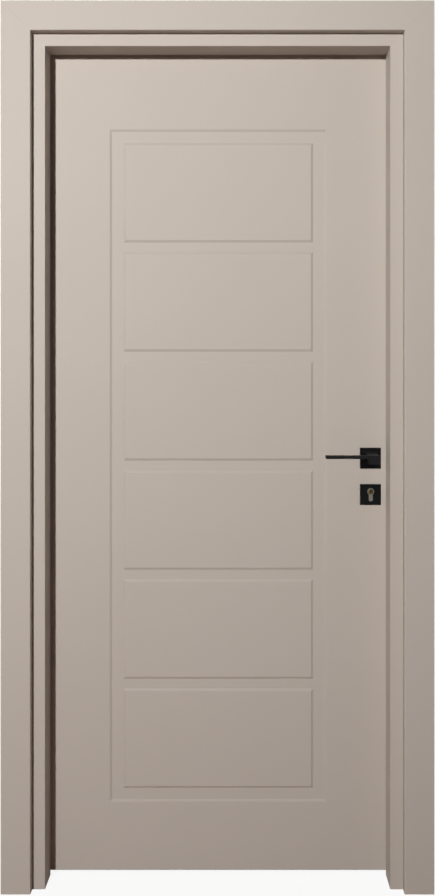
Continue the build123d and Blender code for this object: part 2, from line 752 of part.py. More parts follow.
CASING_FACES = {"push": (-CASING_PROUD, 1), "pull": (JAMB_DEPTH + CASING_PROUD, -1)}
for room, (face, side) in CASING_FACES.items():
    lengths = mitred_lengths(casing_section(face, side))
    for place, length in zip(("hinge", "lock", "head"), lengths):
        write(f"{place}_casing_{room}_side", length)

for place, length in zip(("hinge", "lock", "head"), mitred_lengths(seal_section())):
    write(f"{place}_seal", length)

strike = strike_plate() - strike_pockets(STRIKE_T + OVERRUN, STRIKE_T + OVERRUN)
for place in strike_screw_places():
    strike -= set_along(screw(SCREW_L, SCREW_CLEARANCE), place, (1, 0, 0))
write("strike_plate", strike)
write("strike_screws", *[set_along(screw(SCREW_L), p, (1, 0, 0)) for p in strike_screw_places()])

# Hinges

for name, height in HINGE_HEIGHTS.items():
    write(f"{name}_hinge_jamb_wing", hinge_wing(-1, height))
    write(f"{name}_hinge_leaf_wing", hinge_wing(1, height))
    write(f"{name}_hinge_pin", hinge_pin(height))
write("jamb_hinge_screws", *hinge_screws(-1))
write("leaf_hinge_screws", *hinge_screws(1))

# Leaf

INNER_X = LEAF_HALF - STILE_W
BLOCK_X = (INNER_X - LOCK_BLOCK_W, INNER_X)
BLOCK_Z = (HANDLE_H - CASE_DOWN - LOCK_BLOCK_LAP, HANDLE_H + CASE_UP + LOCK_BLOCK_LAP)
push_skin = skin()
write("leaf_push_skin", push_skin)
write("leaf_pull_skin", cut_for_hinges(mirror(push_skin, PULL_MIRROR), 1))
hinge_stile = core_block((-LEAF_HALF, -INNER_X), (FLOOR_GAP, LEAF_TOP))
write("hinge_stile", cut_for_hinges(hinge_stile, 1))
mortise = lock_mortise() + handle_holes()
write("lock_stile", core_block((INNER_X, LEAF_HALF), (FLOOR_GAP, LEAF_TOP)) - mortise)
write("lock_block", core_block(BLOCK_X, BLOCK_Z) - mortise)
write("top_rail", core_block((-INNER_X, INNER_X), (LEAF_TOP - RAIL_W, LEAF_TOP)))
write("bottom_rail", core_block((-INNER_X, INNER_X), (FLOOR_GAP, FLOOR_GAP + RAIL_W)))
core = core_block((-INNER_X, INNER_X), (FLOOR_GAP + RAIL_W, LEAF_TOP - RAIL_W))
write("leaf_core", core - core_block(BLOCK_X, BLOCK_Z))

# Lock, key cylinder, rosettes and levers

write("lock_forend", lock_forend())
write("lock_case", lock_case())
write("forend_screws", *[set_along(screw(SCREW_L), p, (-1, 0, 0)) for p in forend_screw_places()])
write("latch_bolt", latch_bolt())
write("dead_bolt", dead_bolt())
write("lock_follower", follower())
write("cylinder_body", cylinder_body())
write("cylinder_cam", cylinder_cam())
write("push_side_plug", cylinder_plug(-1))
write("pull_side_plug", cylinder_plug(1))
write("cylinder_screw", cylinder_screw())

key_hole = profile_face(PROFILE_CLEARANCE)
key_hole_z = KEY_H - KEY_ROSETTE_H
mirrored = {
    "handle_rosette": rosette_cover(Circle(COLLAR_R + COLLAR_CLEARANCE), HANDLE_H),
    "handle_base": rosette_base(Circle(COLLAR_R + RUNNING_CLEARANCE), HANDLE_H),
    "key_rosette": rosette_cover(Pos(0, key_hole_z) * key_hole, KEY_ROSETTE_H),
    "key_base": rosette_base(Pos(0, key_hole_z) * key_hole, KEY_ROSETTE_H),
    "lever": lever(),
}
for name, piece in mirrored.items():
    write(f"push_side_{name}", piece)
    write(f"pull_side_{name}", mirror(piece, PULL_MIRROR))
base_places = base_screw_places(HANDLE_H) + base_screw_places(KEY_ROSETTE_H)
base_screws = [set_along(screw(ROSETTE_SCREW_L), place, (0, 1, 0)) for place in base_places]
write("rosette_screws", *base_screws, *[mirror(piece, PULL_MIRROR) for piece in base_screws])
write("spindle", spindle())
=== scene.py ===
import bpy
import math
from mathutils import Matrix, Vector


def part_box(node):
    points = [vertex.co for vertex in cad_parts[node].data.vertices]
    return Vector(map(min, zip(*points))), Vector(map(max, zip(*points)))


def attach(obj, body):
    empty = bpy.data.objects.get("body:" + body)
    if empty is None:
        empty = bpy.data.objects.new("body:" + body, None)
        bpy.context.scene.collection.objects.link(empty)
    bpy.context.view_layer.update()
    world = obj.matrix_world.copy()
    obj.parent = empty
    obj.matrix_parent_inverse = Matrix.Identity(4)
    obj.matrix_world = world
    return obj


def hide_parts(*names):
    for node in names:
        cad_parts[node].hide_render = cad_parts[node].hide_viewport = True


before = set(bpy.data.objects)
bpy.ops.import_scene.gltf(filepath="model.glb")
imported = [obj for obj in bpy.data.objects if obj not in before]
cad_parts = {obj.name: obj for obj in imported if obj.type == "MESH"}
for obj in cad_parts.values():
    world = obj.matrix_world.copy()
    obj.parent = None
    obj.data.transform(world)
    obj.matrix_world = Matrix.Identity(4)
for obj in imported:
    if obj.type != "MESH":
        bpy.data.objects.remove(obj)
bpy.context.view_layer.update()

# Jambs: two uprights and a head of fibreboard, rebated for the leaf, mitred in the corners and
# screwed to the wall through the rebate. They are sprayed with a satin lacquer after machining,
# and the side to the wall stays bare board.

MM = 0.001
LACQUER = "#B9B0A7"
LACQUER_CLOUD = "#B5ACA2"
LACQUER_SHEEN = (0.58, 0.66)
ORANGE_PEEL = 3.5 * MM
PEEL_DEPTH = 0.2 * MM
SPRAY_CLOUD = 350 * MM
BARE_BOARD = "#BDA27E"
BOARD_FLECK = "#A08460"
BOARD_FIBRE = 1.5 * MM
MITRE_SHADE = "#7D746A"
MITRE_LINE = 0.5 * MM
MITRE_STRENGTH = 0.22
CASING_PLATE = 16 * MM
MASK_SPARE = 0.3 * MM

OPENING_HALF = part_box("lock_jamb")[0].x
OPENING_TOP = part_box("head_jamb")[0].z
JAMB_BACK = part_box("lock_jamb")[1].x - OPENING_HALF
JAMB_PULL_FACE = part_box("head_jamb")[1].y
FRAME_MIDDLE = (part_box("head_jamb")[0].y + JAMB_PULL_FACE) / 2
CASING_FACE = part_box("head_casing_pull_side")[1].y - FRAME_MIDDLE


def linear(tone):
    """Linear colour, with alpha, of an sRGB hex value."""
    parts = [int(tone[i : i + 2], 16) / 255 for i in (1, 3, 5)]
    return [c / 12.92 if c <= 0.04045 else ((c + 0.055) / 1.055) ** 2.4 for c in parts] + [1]


def first_output(source):
    """A node's first output in use, or the socket itself."""
    if isinstance(source, bpy.types.Node):
        return next(output for output in source.outputs if output.enabled)
    return source


def add(finish, kind, inputs=None, **settings):
    """Adds a node to a finish with its settings, and sets or links its inputs."""
    node = finish.node_tree.nodes.new("ShaderNode" + kind)
    for name, value in settings.items():
        setattr(node, name, value)
    for socket, value in (inputs or {}).items():
        if isinstance(value, (bpy.types.Node, bpy.types.NodeSocket)):
            finish.node_tree.links.new(first_output(value), node.inputs[socket])
        else:
            node.inputs[socket].default_value = value
    return node


def new_finish(name, tone, **surface):
    """Material with a plain shader, for a section to add its pattern to."""
    finish = bpy.data.materials.new(name)
    finish.use_nodes = True
    shader = finish.node_tree.nodes["Principled BSDF"]
    shader.inputs["Base Color"].default_value = linear(tone)
    for socket, value in surface.items():
        shader.inputs[socket.replace("_", " ")].default_value = value
    return finish


def link(finish, **patterns):
    """Links patterns to sockets of the finish's shader."""
    shader = finish.node_tree.nodes["Principled BSDF"]
    for socket, source in patterns.items():
        finish.node_tree.links.new(first_output(source), shader.inputs[socket.replace("_", " ")])


def lay_over(finish, mask, tone):
    """Lays another tone over a finish's colour where the mask is 1."""
    under = finish.node_tree.nodes["Principled BSDF"].inputs["Base Color"].links[0].from_socket
    mixed = add(finish, "Mix", {"Factor": mask, "A": under, "B": tone}, data_type="RGBA")
    link(finish, Base_Color=mixed)


def dress(finish, *names):
    """Gives CAD nodes a finish."""
    for name in names:
        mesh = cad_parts[name].data
        mesh.materials.clear()
        mesh.materials.append(finish)


def lacquered(name):
    """Greige satin lacquer: nearly even, with slow clouds from the spray gun and a fine orange
    peel. The peel is drawn three times as coarse as it is, so that it shows."""
    finish = new_finish(name, LACQUER, Roughness=0.62, Specular_IOR_Level=0.25)
    place = add(finish, "TexCoord").outputs["Object"]
    cloud = add(finish, "TexNoise", {"Vector": place, "Scale": 1 / SPRAY_CLOUD, "Detail": 3})
    tones = {"Factor": cloud, "A": linear(LACQUER), "B": linear(LACQUER_CLOUD)}
    tint = add(finish, "Mix", tones, data_type="RGBA")
    glossiest, dullest = LACQUER_SHEEN
    sheen = add(finish, "MapRange", {"Value": cloud, "To Min": glossiest, "To Max": dullest})
    peel = add(finish, "TexNoise", {"Vector": place, "Scale": 1 / ORANGE_PEEL, "Detail": 2})
    bump = add(finish, "Bump", {"Height": peel, "Strength": 0.07, "Distance": PEEL_DEPTH})
    link(finish, Base_Color=tint, Roughness=sheen, Normal=bump)
    return finish


frame_lacquer = lacquered("satin_lacquer_on_fibreboard")
place = add(frame_lacquer, "TexCoord").outputs["Object"]
x, y, z = add(frame_lacquer, "SeparateXYZ", {"Vector": place}).outputs
aside = add(frame_lacquer, "Math", {0: x}, operation="ABSOLUTE")
out_aside = add(frame_lacquer, "Math", {0: aside, 1: OPENING_HALF}, operation="SUBTRACT")
out_up = add(frame_lacquer, "Math", {0: z, 1: OPENING_TOP}, operation="SUBTRACT")

# The hairline where two lengths meet in a mitre
off_mitre = add(frame_lacquer, "Math", {0: out_aside, 1: out_up}, operation="SUBTRACT")
off_mitre = add(frame_lacquer, "Math", {0: off_mitre}, operation="ABSOLUTE")
in_mitre = add(frame_lacquer, "Math", {0: off_mitre, 1: MITRE_LINE}, operation="LESS_THAN")
hairline = add(frame_lacquer, "Math", {0: in_mitre, 1: MITRE_STRENGTH}, operation="MULTIPLY")
lay_over(frame_lacquer, hairline, linear(MITRE_SHADE))

# Bare board, brown with short darker fibres, on the backs of the jambs and of the casings
wall_side = JAMB_BACK - MASK_SPARE
outward = add(frame_lacquer, "Math", {0: out_aside, 1: out_up}, operation="MAXIMUM")
behind = add(frame_lacquer, "Math", {0: outward, 1: wall_side}, operation="GREATER_THAN")
across = add(frame_lacquer, "Math", {0: y, 1: FRAME_MIDDLE}, operation="SUBTRACT")
across = add(frame_lacquer, "Math", {0: across}, operation="ABSOLUTE")
plate_back = CASING_FACE - CASING_PLATE + MASK_SPARE
between = add(frame_lacquer, "Math", {0: across, 1: plate_back}, operation="LESS_THAN")
unpainted = add(frame_lacquer, "Math", {0: behind, 1: between}, operation="MULTIPLY")
fibre = add(frame_lacquer, "TexNoise", {"Vector": place, "Scale": 1 / BOARD_FIBRE, "Detail": 5})
board_tones = {"Factor": fibre, "A": linear(BARE_BOARD), "B": linear(BOARD_FLECK)}
lay_over(frame_lacquer, unpainted, add(frame_lacquer, "Mix", board_tones, data_type="RGBA"))
dress(frame_lacquer, "hinge_jamb", "lock_jamb", "head_jamb")

# Casings: flat L-shaped lengths of the same board with mitred corners, whose legs slide in grooves
# of the jambs, so that they reach the wall's face. They are lacquered with the jambs.

for room in ("push", "pull"):
    dress(frame_lacquer, *[f"{side}_casing_{room}_side" for side in ("hinge", "lock", "head")])

# Seals: a soft rubber profile pressed in a kerf of the stop, which the leaf closes on. Extruded
# rubber is matte, with a dusty bloom in small spots.

SEAL = "#77716A"
SEAL_BLOOM = "#8B857D"
BLOOM_SPOT = 6 * MM
BLOOM_DEPTH = 0.2 * MM
seal_rubber = new_finish("extruded_seal_rubber", SEAL, Roughness=0.7, Specular_IOR_Level=0.3)
place = add(seal_rubber, "TexCoord").outputs["Object"]
bloom = add(seal_rubber, "TexNoise", {"Vector": place, "Scale": 1 / BLOOM_SPOT, "Detail": 4})
bloom_tones = {"Factor": bloom, "A": linear(SEAL), "B": linear(SEAL_BLOOM)}
tint = add(seal_rubber, "Mix", bloom_tones, data_type="RGBA")
bump = add(seal_rubber, "Bump", {"Height": bloom, "Strength": 0.1, "Distance": BLOOM_DEPTH})
link(seal_rubber, Base_Color=tint, Normal=bump)
dress(seal_rubber, "hinge_seal", "lock_seal", "head_seal")

# Leaf: two facings of fibreboard with a routed field and raised panels, glued on a softwood frame
# with a board core. The facings and the leaf's edges are lacquered as the jambs are.

LEAF_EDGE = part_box("leaf_push_skin")[1].x
LEAF_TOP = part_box("leaf_push_skin")[1].z
LEAF_MIDDLE = (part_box("leaf_push_skin")[0].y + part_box("leaf_pull_skin")[1].y) / 2
leaf_lacquer = lacquered("satin_lacquer_on_leaf")

# The routed slopes are laid over with a darker tone: painted shade that deepens the grooves
ROUTE_PAINTED_SHADE = "#B3AAA1"
ROUTE_DEPTH = 2.5 * MM
ROUTE_SLOPE = 6 * MM
ROUTE_SPARE = 0.1 * MM
FIELD_SIDE = 162 * MM
LEAF_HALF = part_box("leaf_pull_skin")[1].y - LEAF_MIDDLE
place = add(leaf_lacquer, "TexCoord").outputs["Object"]
x, y, z = add(leaf_lacquer, "SeparateXYZ", {"Vector": place}).outputs
across = add(leaf_lacquer, "Math", {0: y, 1: LEAF_MIDDLE}, operation="SUBTRACT")
across = add(leaf_lacquer, "Math", {0: across}, operation="ABSOLUTE")
half_way = LEAF_HALF - ROUTE_DEPTH / 2
slope_reach = ROUTE_DEPTH / 2 - ROUTE_SPARE
sunk = add(leaf_lacquer, "Math", {0: across, 1: half_way, 2: slope_reach}, operation="COMPARE")
aside = add(leaf_lacquer, "Math", {0: x}, operation="ABSOLUTE")
field_edge = LEAF_EDGE - FIELD_SIDE + ROUTE_SLOPE
in_field = add(leaf_lacquer, "Math", {0: aside, 1: field_edge}, operation="LESS_THAN")
painted_shade_on_slope = add(leaf_lacquer, "Math", {0: sunk, 1: in_field}, operation="MULTIPLY")
# Painted shade: a darker tone over the routed slopes
lay_over(leaf_lacquer, painted_shade_on_slope, linear(ROUTE_PAINTED_SHADE))
dress(leaf_lacquer, "leaf_push_skin", "leaf_pull_skin")

# The frame inside is sawn pine, with its grain along each length, lacquered on the outer edges only
PINE = "#D8BC8E"
PINE_GRAIN = "#BC9562"
GRAIN_W = 5 * MM
GRAIN_L = 180 * MM
for name, grain, pieces in (
    ("stile", (GRAIN_W, GRAIN_W, GRAIN_L), ("hinge_stile", "lock_stile", "lock_block")),
    ("rail", (GRAIN_L, GRAIN_W, GRAIN_W), ("top_rail", "bottom_rail")),
):
    timber = lacquered(f"lacquer_on_pine_{name}")
    place = add(timber, "TexCoord").outputs["Object"]
    x, y, z = add(timber, "SeparateXYZ", {"Vector": place}).outputs
    aside = add(timber, "Math", {0: x}, operation="ABSOLUTE")
    inside = add(timber, "Math", {0: aside, 1: LEAF_EDGE - MASK_SPARE}, operation="LESS_THAN")
    below = add(timber, "Math", {0: z, 1: LEAF_TOP - MASK_SPARE}, operation="LESS_THAN")
    unpainted = add(timber, "Math", {0: inside, 1: below}, operation="MULTIPLY")
    along = add(timber, "Mapping", {"Vector": place, "Scale": [1 / length for length in grain]})
    lines = add(timber, "TexNoise", {"Vector": along, "Scale": 1, "Detail": 4, "Distortion": 0.6})
    pine_tones = {"Factor": lines, "A": linear(PINE), "B": linear(PINE_GRAIN)}
    lay_over(timber, unpainted, add(timber, "Mix", pine_tones, data_type="RGBA"))
    dress(timber, *pieces)

# The core is light particle board, with pale and dark chips
CHIP = 7 * MM
CHIP_STEP = 0.5 * MM
CORE_PALE = "#CDB386"
CORE_DARK = "#9C7F55"
core_board = new_finish("particle_board", CORE_PALE, Roughness=0.85)
place = add(core_board, "TexCoord").outputs["Object"]
chips = add(core_board, "TexVoronoi", {"Vector": place, "Scale": 1 / CHIP})
shade = add(core_board, "SeparateColor", {"Color": chips.outputs["Color"]})
chip_tones = {"Factor": shade, "A": linear(CORE_PALE), "B": linear(CORE_DARK)}
tint = add(core_board, "Mix", chip_tones, data_type="RGBA")
bump = add(core_board, "Bump", {"Height": chips, "Strength": 0.3, "Distance": CHIP_STEP})
link(core_board, Base_Color=tint, Normal=bump)
dress(core_board, "leaf_core")

# Hinges: three butt hinges of pressed steel, let flush into the leaf's edge and the jamb, with
# rolled knuckles on a turned pin. The black coat is baked on, with a fine grain.

HINGE_BLACK = "#1B1B1C"
HINGE_GREY = "#29292A"
COAT_GRAIN = 0.8 * MM
COAT_DEPTH = 0.1 * MM
COAT_PATCH = 20 * MM
COAT_SPREAD = 0.06


def black_coated(name, tone, worn_tone, roughness):
    """Baked black coat: a fine grain, a little uneven in tone and gloss. The grain is drawn twice
    as coarse as it is, so that it shows."""
    finish = new_finish(name, tone, Roughness=roughness, Specular_IOR_Level=0.3)
    place = add(finish, "TexCoord").outputs["Object"]
    grain = add(finish, "TexNoise", {"Vector": place, "Scale": 1 / COAT_GRAIN, "Detail": 3})
    patch = add(finish, "TexNoise", {"Vector": place, "Scale": 1 / COAT_PATCH, "Detail": 4})
    coat_tones = {"Factor": patch, "A": linear(tone), "B": linear(worn_tone)}
    tint = add(finish, "Mix", coat_tones, data_type="RGBA")
    spread = {"To Min": roughness - COAT_SPREAD, "To Max": roughness + COAT_SPREAD}
    gloss = add(finish, "MapRange", {"Value": patch, **spread})
    bump = add(finish, "Bump", {"Height": grain, "Strength": 0.12, "Distance": COAT_DEPTH})
    link(finish, Base_Color=tint, Roughness=gloss, Normal=bump)
    return finish


hinge_coat = black_coated("black_coated_steel", HINGE_BLACK, HINGE_GREY, roughness=0.42)
for height in ("bottom", "middle", "top"):
    dress(hinge_coat, *[f"{height}_hinge_{part}" for part in ("jamb_wing", "leaf_wing", "pin")])

# Lock: a mortise lock in the leaf's edge, with a brushed forend, a plated case, and a latch and a
# dead bolt of nickel-plated steel. The strike plate on the jamb is brushed as the forend is.

STEEL = "#BDBAB4"
STEEL_LINE = "#A19E98"
PLATED = "#A9ABAD"
PLATED_LINE = "#8C8F92"
BRUSH_W = 0.7 * MM
BRUSH_L = 45 * MM
BRUSH_DEPTH = 0.05 * MM
BRUSH_SHINE = 0.08
BRUSH_DULL = 0.1


def brushed(name, tone, line_tone, roughness):
    """Metal with brush lines up its length, drawn twice as wide as they are, so that they show."""
    finish = new_finish(name, tone, Metallic=1, Roughness=roughness)
    place = add(finish, "TexCoord").outputs["Object"]
    scale = (1 / BRUSH_W, 1 / BRUSH_W, 1 / BRUSH_L)
    along = add(finish, "Mapping", {"Vector": place, "Scale": scale})
    lines = add(finish, "TexNoise", {"Vector": along, "Scale": 1, "Detail": 4})
    line_tones = {"Factor": lines, "A": linear(tone), "B": linear(line_tone)}
    tint = add(finish, "Mix", line_tones, data_type="RGBA")
    spread = {"To Min": roughness - BRUSH_SHINE, "To Max": roughness + BRUSH_DULL}
    gloss = add(finish, "MapRange", {"Value": lines, **spread})
    bump = add(finish, "Bump", {"Height": lines, "Strength": 0.15, "Distance": BRUSH_DEPTH})
    link(finish, Base_Color=tint, Roughness=gloss, Normal=bump)
    return finish


# Stainless steel is brushed to a warm grey, and the plated pieces are bluer and glossier
brushed_steel = brushed("brushed_stainless_steel", STEEL, STEEL_LINE, roughness=0.34)
plated_steel = brushed("nickel_plated_steel", PLATED, PLATED_LINE, roughness=0.28)
dress(brushed_steel, "strike_plate", "lock_forend")
dress(plated_steel, "lock_case", "latch_bolt", "dead_bolt", "lock_follower")
dress(plated_steel, "spindle", "cylinder_cam")

# Screws: countersunk and cross-headed, of zinc-plated steel. They hold the hinges, the lock, the
# strike plate and the rosettes' bases, and a long one comes through the forend into the cylinder.

ZINC = "#B4B6B8"
ZINC_STAIN = "#8F9296"
ZINC_SPOT = 3 * MM
ZINC_SHEEN = (0.26, 0.46)
SCREW_SIDES = 24
HEAD_R = 4 * MM
HEAD_H = 2.2 * MM
SHANK_R = 2 * MM
SCREW_L = 25 * MM
THREAD_PITCH = 1.8 * MM
THREAD_ROOT = 0.74
TIP_L = 3 * MM
TIP_SHARE = 0.15
RECESS_L = 4.4 * MM
RECESS_W = 1.1 * MM
RECESS_D = 1.6 * MM
RECESS_FLOOR = 0.55
SCREW_TURN = math.radians(37)
UPRIGHT = 0.9
SMOOTH_ANGLE = math.radians(30)

# Zinc plate is a bluish white metal, stained and dulled in small spots
zinc_plate = new_finish("zinc_plated_steel", ZINC, Metallic=1, Roughness=0.34)
place = add(zinc_plate, "TexCoord").outputs["Object"]
stain = add(zinc_plate, "TexNoise", {"Vector": place, "Scale": 1 / ZINC_SPOT, "Detail": 4})
zinc_tones = {"Factor": stain, "A": linear(ZINC), "B": linear(ZINC_STAIN)}
tint = add(zinc_plate, "Mix", zinc_tones, data_type="RGBA")
glossiest, dullest = ZINC_SHEEN
gloss = add(zinc_plate, "MapRange", {"Value": stain, "To Min": glossiest, "To Max": dullest})
link(zinc_plate, Base_Color=tint, Roughness=gloss)
dress(zinc_plate, "rosette_screws")


def pick(piece, wanted, kind="FACE"):
    """Goes into edit mode with the faces or points selected that a test wants."""
    bpy.ops.object.mode_set(mode="EDIT")
    bpy.ops.mesh.select_mode(type=kind)
    bpy.ops.mesh.select_all(action="DESELECT")
    bpy.ops.object.mode_set(mode="OBJECT")
    parts = piece.data.polygons if kind == "FACE" else piece.data.vertices
    for part in parts:
        part.select = wanted(part)
    bpy.ops.object.mode_set(mode="EDIT")


def cut(piece, cutter):
    """Takes a cutter's shape out of a piece."""
    change = piece.modifiers.new("cut", "BOOLEAN")
    change.object = cutter
    bpy.context.view_layer.objects.active = piece
    bpy.ops.object.modifier_apply(modifier=change.name)
    bpy.data.objects.remove(cutter)


def new_screw(length, shank_r):
    """Screw that points down Z from its head's face, with rolled threads and a cross recess."""
    bpy.ops.object.select_all(action="DESELECT")
    bpy.ops.mesh.primitive_cone_add(
        vertices=SCREW_SIDES,
        radius1=shank_r,
        radius2=HEAD_R,
        depth=HEAD_H,
        location=(0, 0, -HEAD_H / 2),
    )
    bpy.ops.object.transform_apply()
    screw = bpy.context.object
    pick(screw, lambda face: face.normal.z < -UPRIGHT)
    half_pitch = {"value": (0, 0, -THREAD_PITCH / 2)}
    for thread in range(round((length - HEAD_H - TIP_L) / THREAD_PITCH)):
        for share in (THREAD_ROOT, 1 / THREAD_ROOT):
            bpy.ops.mesh.extrude_region_move(TRANSFORM_OT_translate=half_pitch)
            bpy.ops.transform.resize(value=(share, share, 1), center_override=(0, 0, 0))
    bpy.ops.mesh.extrude_region_move(TRANSFORM_OT_translate={"value": (0, 0, -TIP_L)})
    bpy.ops.transform.resize(value=(TIP_SHARE, TIP_SHARE, 1), center_override=(0, 0, 0))
    bpy.ops.object.mode_set(mode="OBJECT")
    for turn in (0, math.pi / 2):
        bpy.ops.object.select_all(action="DESELECT")
        bpy.ops.mesh.primitive_cube_add(size=1, rotation=(0, 0, turn))
        cutter = bpy.context.object
        cutter.scale = (RECESS_L, RECESS_W, 2 * RECESS_D)
        bpy.ops.object.transform_apply()
        pick(cutter, lambda face: face.normal.z < -UPRIGHT)
        bpy.ops.transform.resize(value=(RECESS_FLOOR, RECESS_FLOOR, 1), center_override=(0, 0, 0))
        bpy.ops.object.mode_set(mode="OBJECT")
        cut(screw, cutter)
    return screw


def set_screws(name, model, places, direction, body):
    """Copies of a screw at their heads' places, pointing one way, as one piece of a body."""
    aim = Vector((0, 0, -1)).rotation_difference(Vector(direction)).to_matrix().to_4x4()
    bpy.ops.object.select_all(action="DESELECT")
    for n, place in enumerate(places):
        piece = model.copy()
        piece.data = model.data.copy()
        spin = Matrix.Rotation(n * SCREW_TURN, 4, "Z")
        piece.data.transform(Matrix.Translation(place) @ aim @ spin)
        bpy.context.collection.objects.link(piece)
        piece.select_set(True)
    bpy.context.view_layer.objects.active = piece
    if len(places) > 1:
        bpy.ops.object.join()
    bpy.ops.object.shade_smooth_by_angle(angle=SMOOTH_ANGLE)
    piece.name = f"cross_headed_{name}"
    piece.data.materials.append(zinc_plate)
    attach(piece, body)
    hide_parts(name)


wood_screw = new_screw(SCREW_L, SHANK_R)
WING_SCREW_RISE = 36 * MM
WING_SCREW_IN = 22.5 * MM
HINGE_GAP_HALF = 1.5 * MM
pins = [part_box(f"{height}_hinge_pin") for height in ("bottom", "middle", "top")]
for side, name, body in ((-1, "jamb_hinge_screws", "frame"), (1, "leaf_hinge_screws", "leaf")):
    places = []
    for low, high in pins:
        axis = (low + high) / 2
        for rise in (-WING_SCREW_RISE, 0, WING_SCREW_RISE):
            x = axis.x + side * HINGE_GAP_HALF
            places.append((x, JAMB_PULL_FACE - WING_SCREW_IN, axis.z + rise))
    set_screws(name, wood_screw, places, (side, 0, 0), body)

STRIKE_SCREW_INSET = 10 * MM
low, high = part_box("strike_plate")
heights = (low.z + STRIKE_SCREW_INSET, high.z - STRIKE_SCREW_INSET)
places = [(low.x, LEAF_MIDDLE, height) for height in heights]
set_screws("strike_screws", wood_screw, places, (1, 0, 0), "frame")

FOREND_SCREW_INSET = 8 * MM
low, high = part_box("lock_forend")
heights = (low.z + FOREND_SCREW_INSET, high.z - FOREND_SCREW_INSET)
places = [(high.x, LEAF_MIDDLE, height) for height in heights]
set_screws("forend_screws", wood_screw, places, (-1, 0, 0), "leaf")

CYLINDER_SCREW_R = 2.4 * MM
low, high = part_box("cylinder_screw")
long_screw = new_screw(high.x - low.x, CYLINDER_SCREW_R)
places = [(high.x, LEAF_MIDDLE, (low.z + high.z) / 2)]
set_screws("cylinder_screw", long_screw, places, (-1, 0, 0), "leaf")
bpy.data.objects.remove(wood_screw)
bpy.data.objects.remove(long_screw)

# Key cylinder: a profile body of satin nickel with a turning plug of bare brass in each end. The
# plugs have a warded keyway and a broken rim.

NICKEL = "#A8A297"
NICKEL_LINE = "#8D877C"
BRASS = "#807053"
BRASS_RING = "#5B4E39"
TURNING = 0.5 * MM
TURNING_DEPTH = 0.05 * MM
RIM = 0.4 * MM
RIM_ANGLE = math.radians(60)
PLUG_SIDES = 64
KEYWAY_W = 2 * MM
KEYWAY_H = 9 * MM
KEYWAY_DEPTH = 20 * MM
WARDS = (0.55 * MM, 0.55 * MM, -0.5 * MM, -0.5 * MM, 0.4 * MM)
RING_LENGTH = math.pi / 10

# Satin nickel is a warm grey metal with soft brush lines
satin_nickel = brushed("satin_nickel", NICKEL, NICKEL_LINE, roughness=0.36)
dress(satin_nickel, "cylinder_body")

# Turned brass has fine rings round its axis, browner in their grooves. They are drawn coarser than
# they are, so that they show. A ring of the wave texture is RING_LENGTH wide at scale 1.
turned_brass = new_finish("turned_brass", BRASS, Metallic=1, Roughness=0.34)
low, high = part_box("push_side_plug")
axis = (low + high) / 2
place = add(turned_brass, "TexCoord").outputs["Object"]
centred = add(turned_brass, "Mapping", {"Vector": place, "Location": (-axis.x, 0, -axis.z)})
rings = add(
    turned_brass,
    "TexWave",
    {"Vector": centred, "Scale": RING_LENGTH / TURNING, "Distortion": 1.5},
    wave_type="RINGS",
    rings_direction="Y",
)
brass_tones = {"Factor": rings, "A": linear(BRASS), "B": linear(BRASS_RING)}
tint = add(turned_brass, "Mix", brass_tones, data_type="RGBA")
bump = add(turned_brass, "Bump", {"Height": rings, "Strength": 0.2, "Distance": TURNING_DEPTH})
link(turned_brass, Base_Color=tint, Normal=bump)

for room, outward in (("push", -1), ("pull", 1)):
    low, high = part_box(f"{room}_side_plug")
    middle = (low + high) / 2
    bpy.ops.object.select_all(action="DESELECT")
    bpy.ops.mesh.primitive_cylinder_add(
        vertices=PLUG_SIDES,
        radius=(high.x - low.x) / 2,
        depth=high.y - low.y,
        location=middle,
        rotation=(math.pi / 2, 0, 0),
    )
    bpy.ops.object.transform_apply()
    plug = bpy.context.object
    plug.name = f"{room}_side_warded_plug"
    rim = plug.modifiers.new("rim", "BEVEL")
    rim.width = RIM
    rim.segments = 2
    rim.limit_method = "ANGLE"
    rim.angle_limit = RIM_ANGLE
    bpy.ops.object.modifier_apply(modifier=rim.name)
    end = low.y if outward < 0 else high.y
    bpy.ops.mesh.primitive_cube_add(size=1, location=(middle.x, end, middle.z))
    keyway = bpy.context.object
    keyway.scale = (KEYWAY_W, 2 * KEYWAY_DEPTH, KEYWAY_H)
    bpy.ops.object.transform_apply()
    pick(keyway, lambda face: True)
    bpy.ops.mesh.subdivide(number_cuts=len(WARDS))
    step = KEYWAY_H / (len(WARDS) + 1)
    for n, ward in enumerate(WARDS, start=1):
        height = middle.z - KEYWAY_H / 2 + n * step
        pick(keyway, lambda point: abs(point.co.z - height) < step / 2, "VERT")
        bpy.ops.transform.translate(value=(ward, 0, 0))
    bpy.ops.object.mode_set(mode="OBJECT")
    cut(plug, keyway)
    plug.select_set(True)
    bpy.ops.object.shade_smooth_by_angle(angle=SMOOTH_ANGLE)
    plug.data.materials.append(turned_brass)
    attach(plug, f"{room}_key")
    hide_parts(f"{room}_side_plug")

# Rosettes and levers: square covers of pressed zinc alloy that clip over nylon bases, and flat cast
# levers on a square spindle. Covers and levers have a matte black coat, a little duller on the
# levers, and the moulded bases are dull all over.

HANDLE_BLACK = "#070708"
HANDLE_GREY = "#0B0B0C"
BASE_NYLON = "#2E2E30"
black_tones = (HANDLE_BLACK, HANDLE_GREY)
rosette_coat = black_coated("matte_black_coat_on_pressed_zinc", *black_tones, roughness=0.25)
lever_coat = black_coated("matte_black_coat_on_cast_zinc", *black_tones, roughness=0.39)
nylon = black_coated("moulded_nylon", BASE_NYLON, HANDLE_GREY, roughness=0.6)
for room in ("push", "pull"):
    dress(rosette_coat, f"{room}_side_handle_rosette", f"{room}_side_key_rosette")
    dress(lever_coat, f"{room}_side_lever")
    dress(nylon, f"{room}_side_handle_base", f"{room}_side_key_base")

# Studio: a pale painted floor under a white backdrop, a key lamp high on the left, and lamps
# behind, beside and above for the other sides. Rays that see the room find it white behind the door
# and darker in front of it, and the floor keeps the shadow.

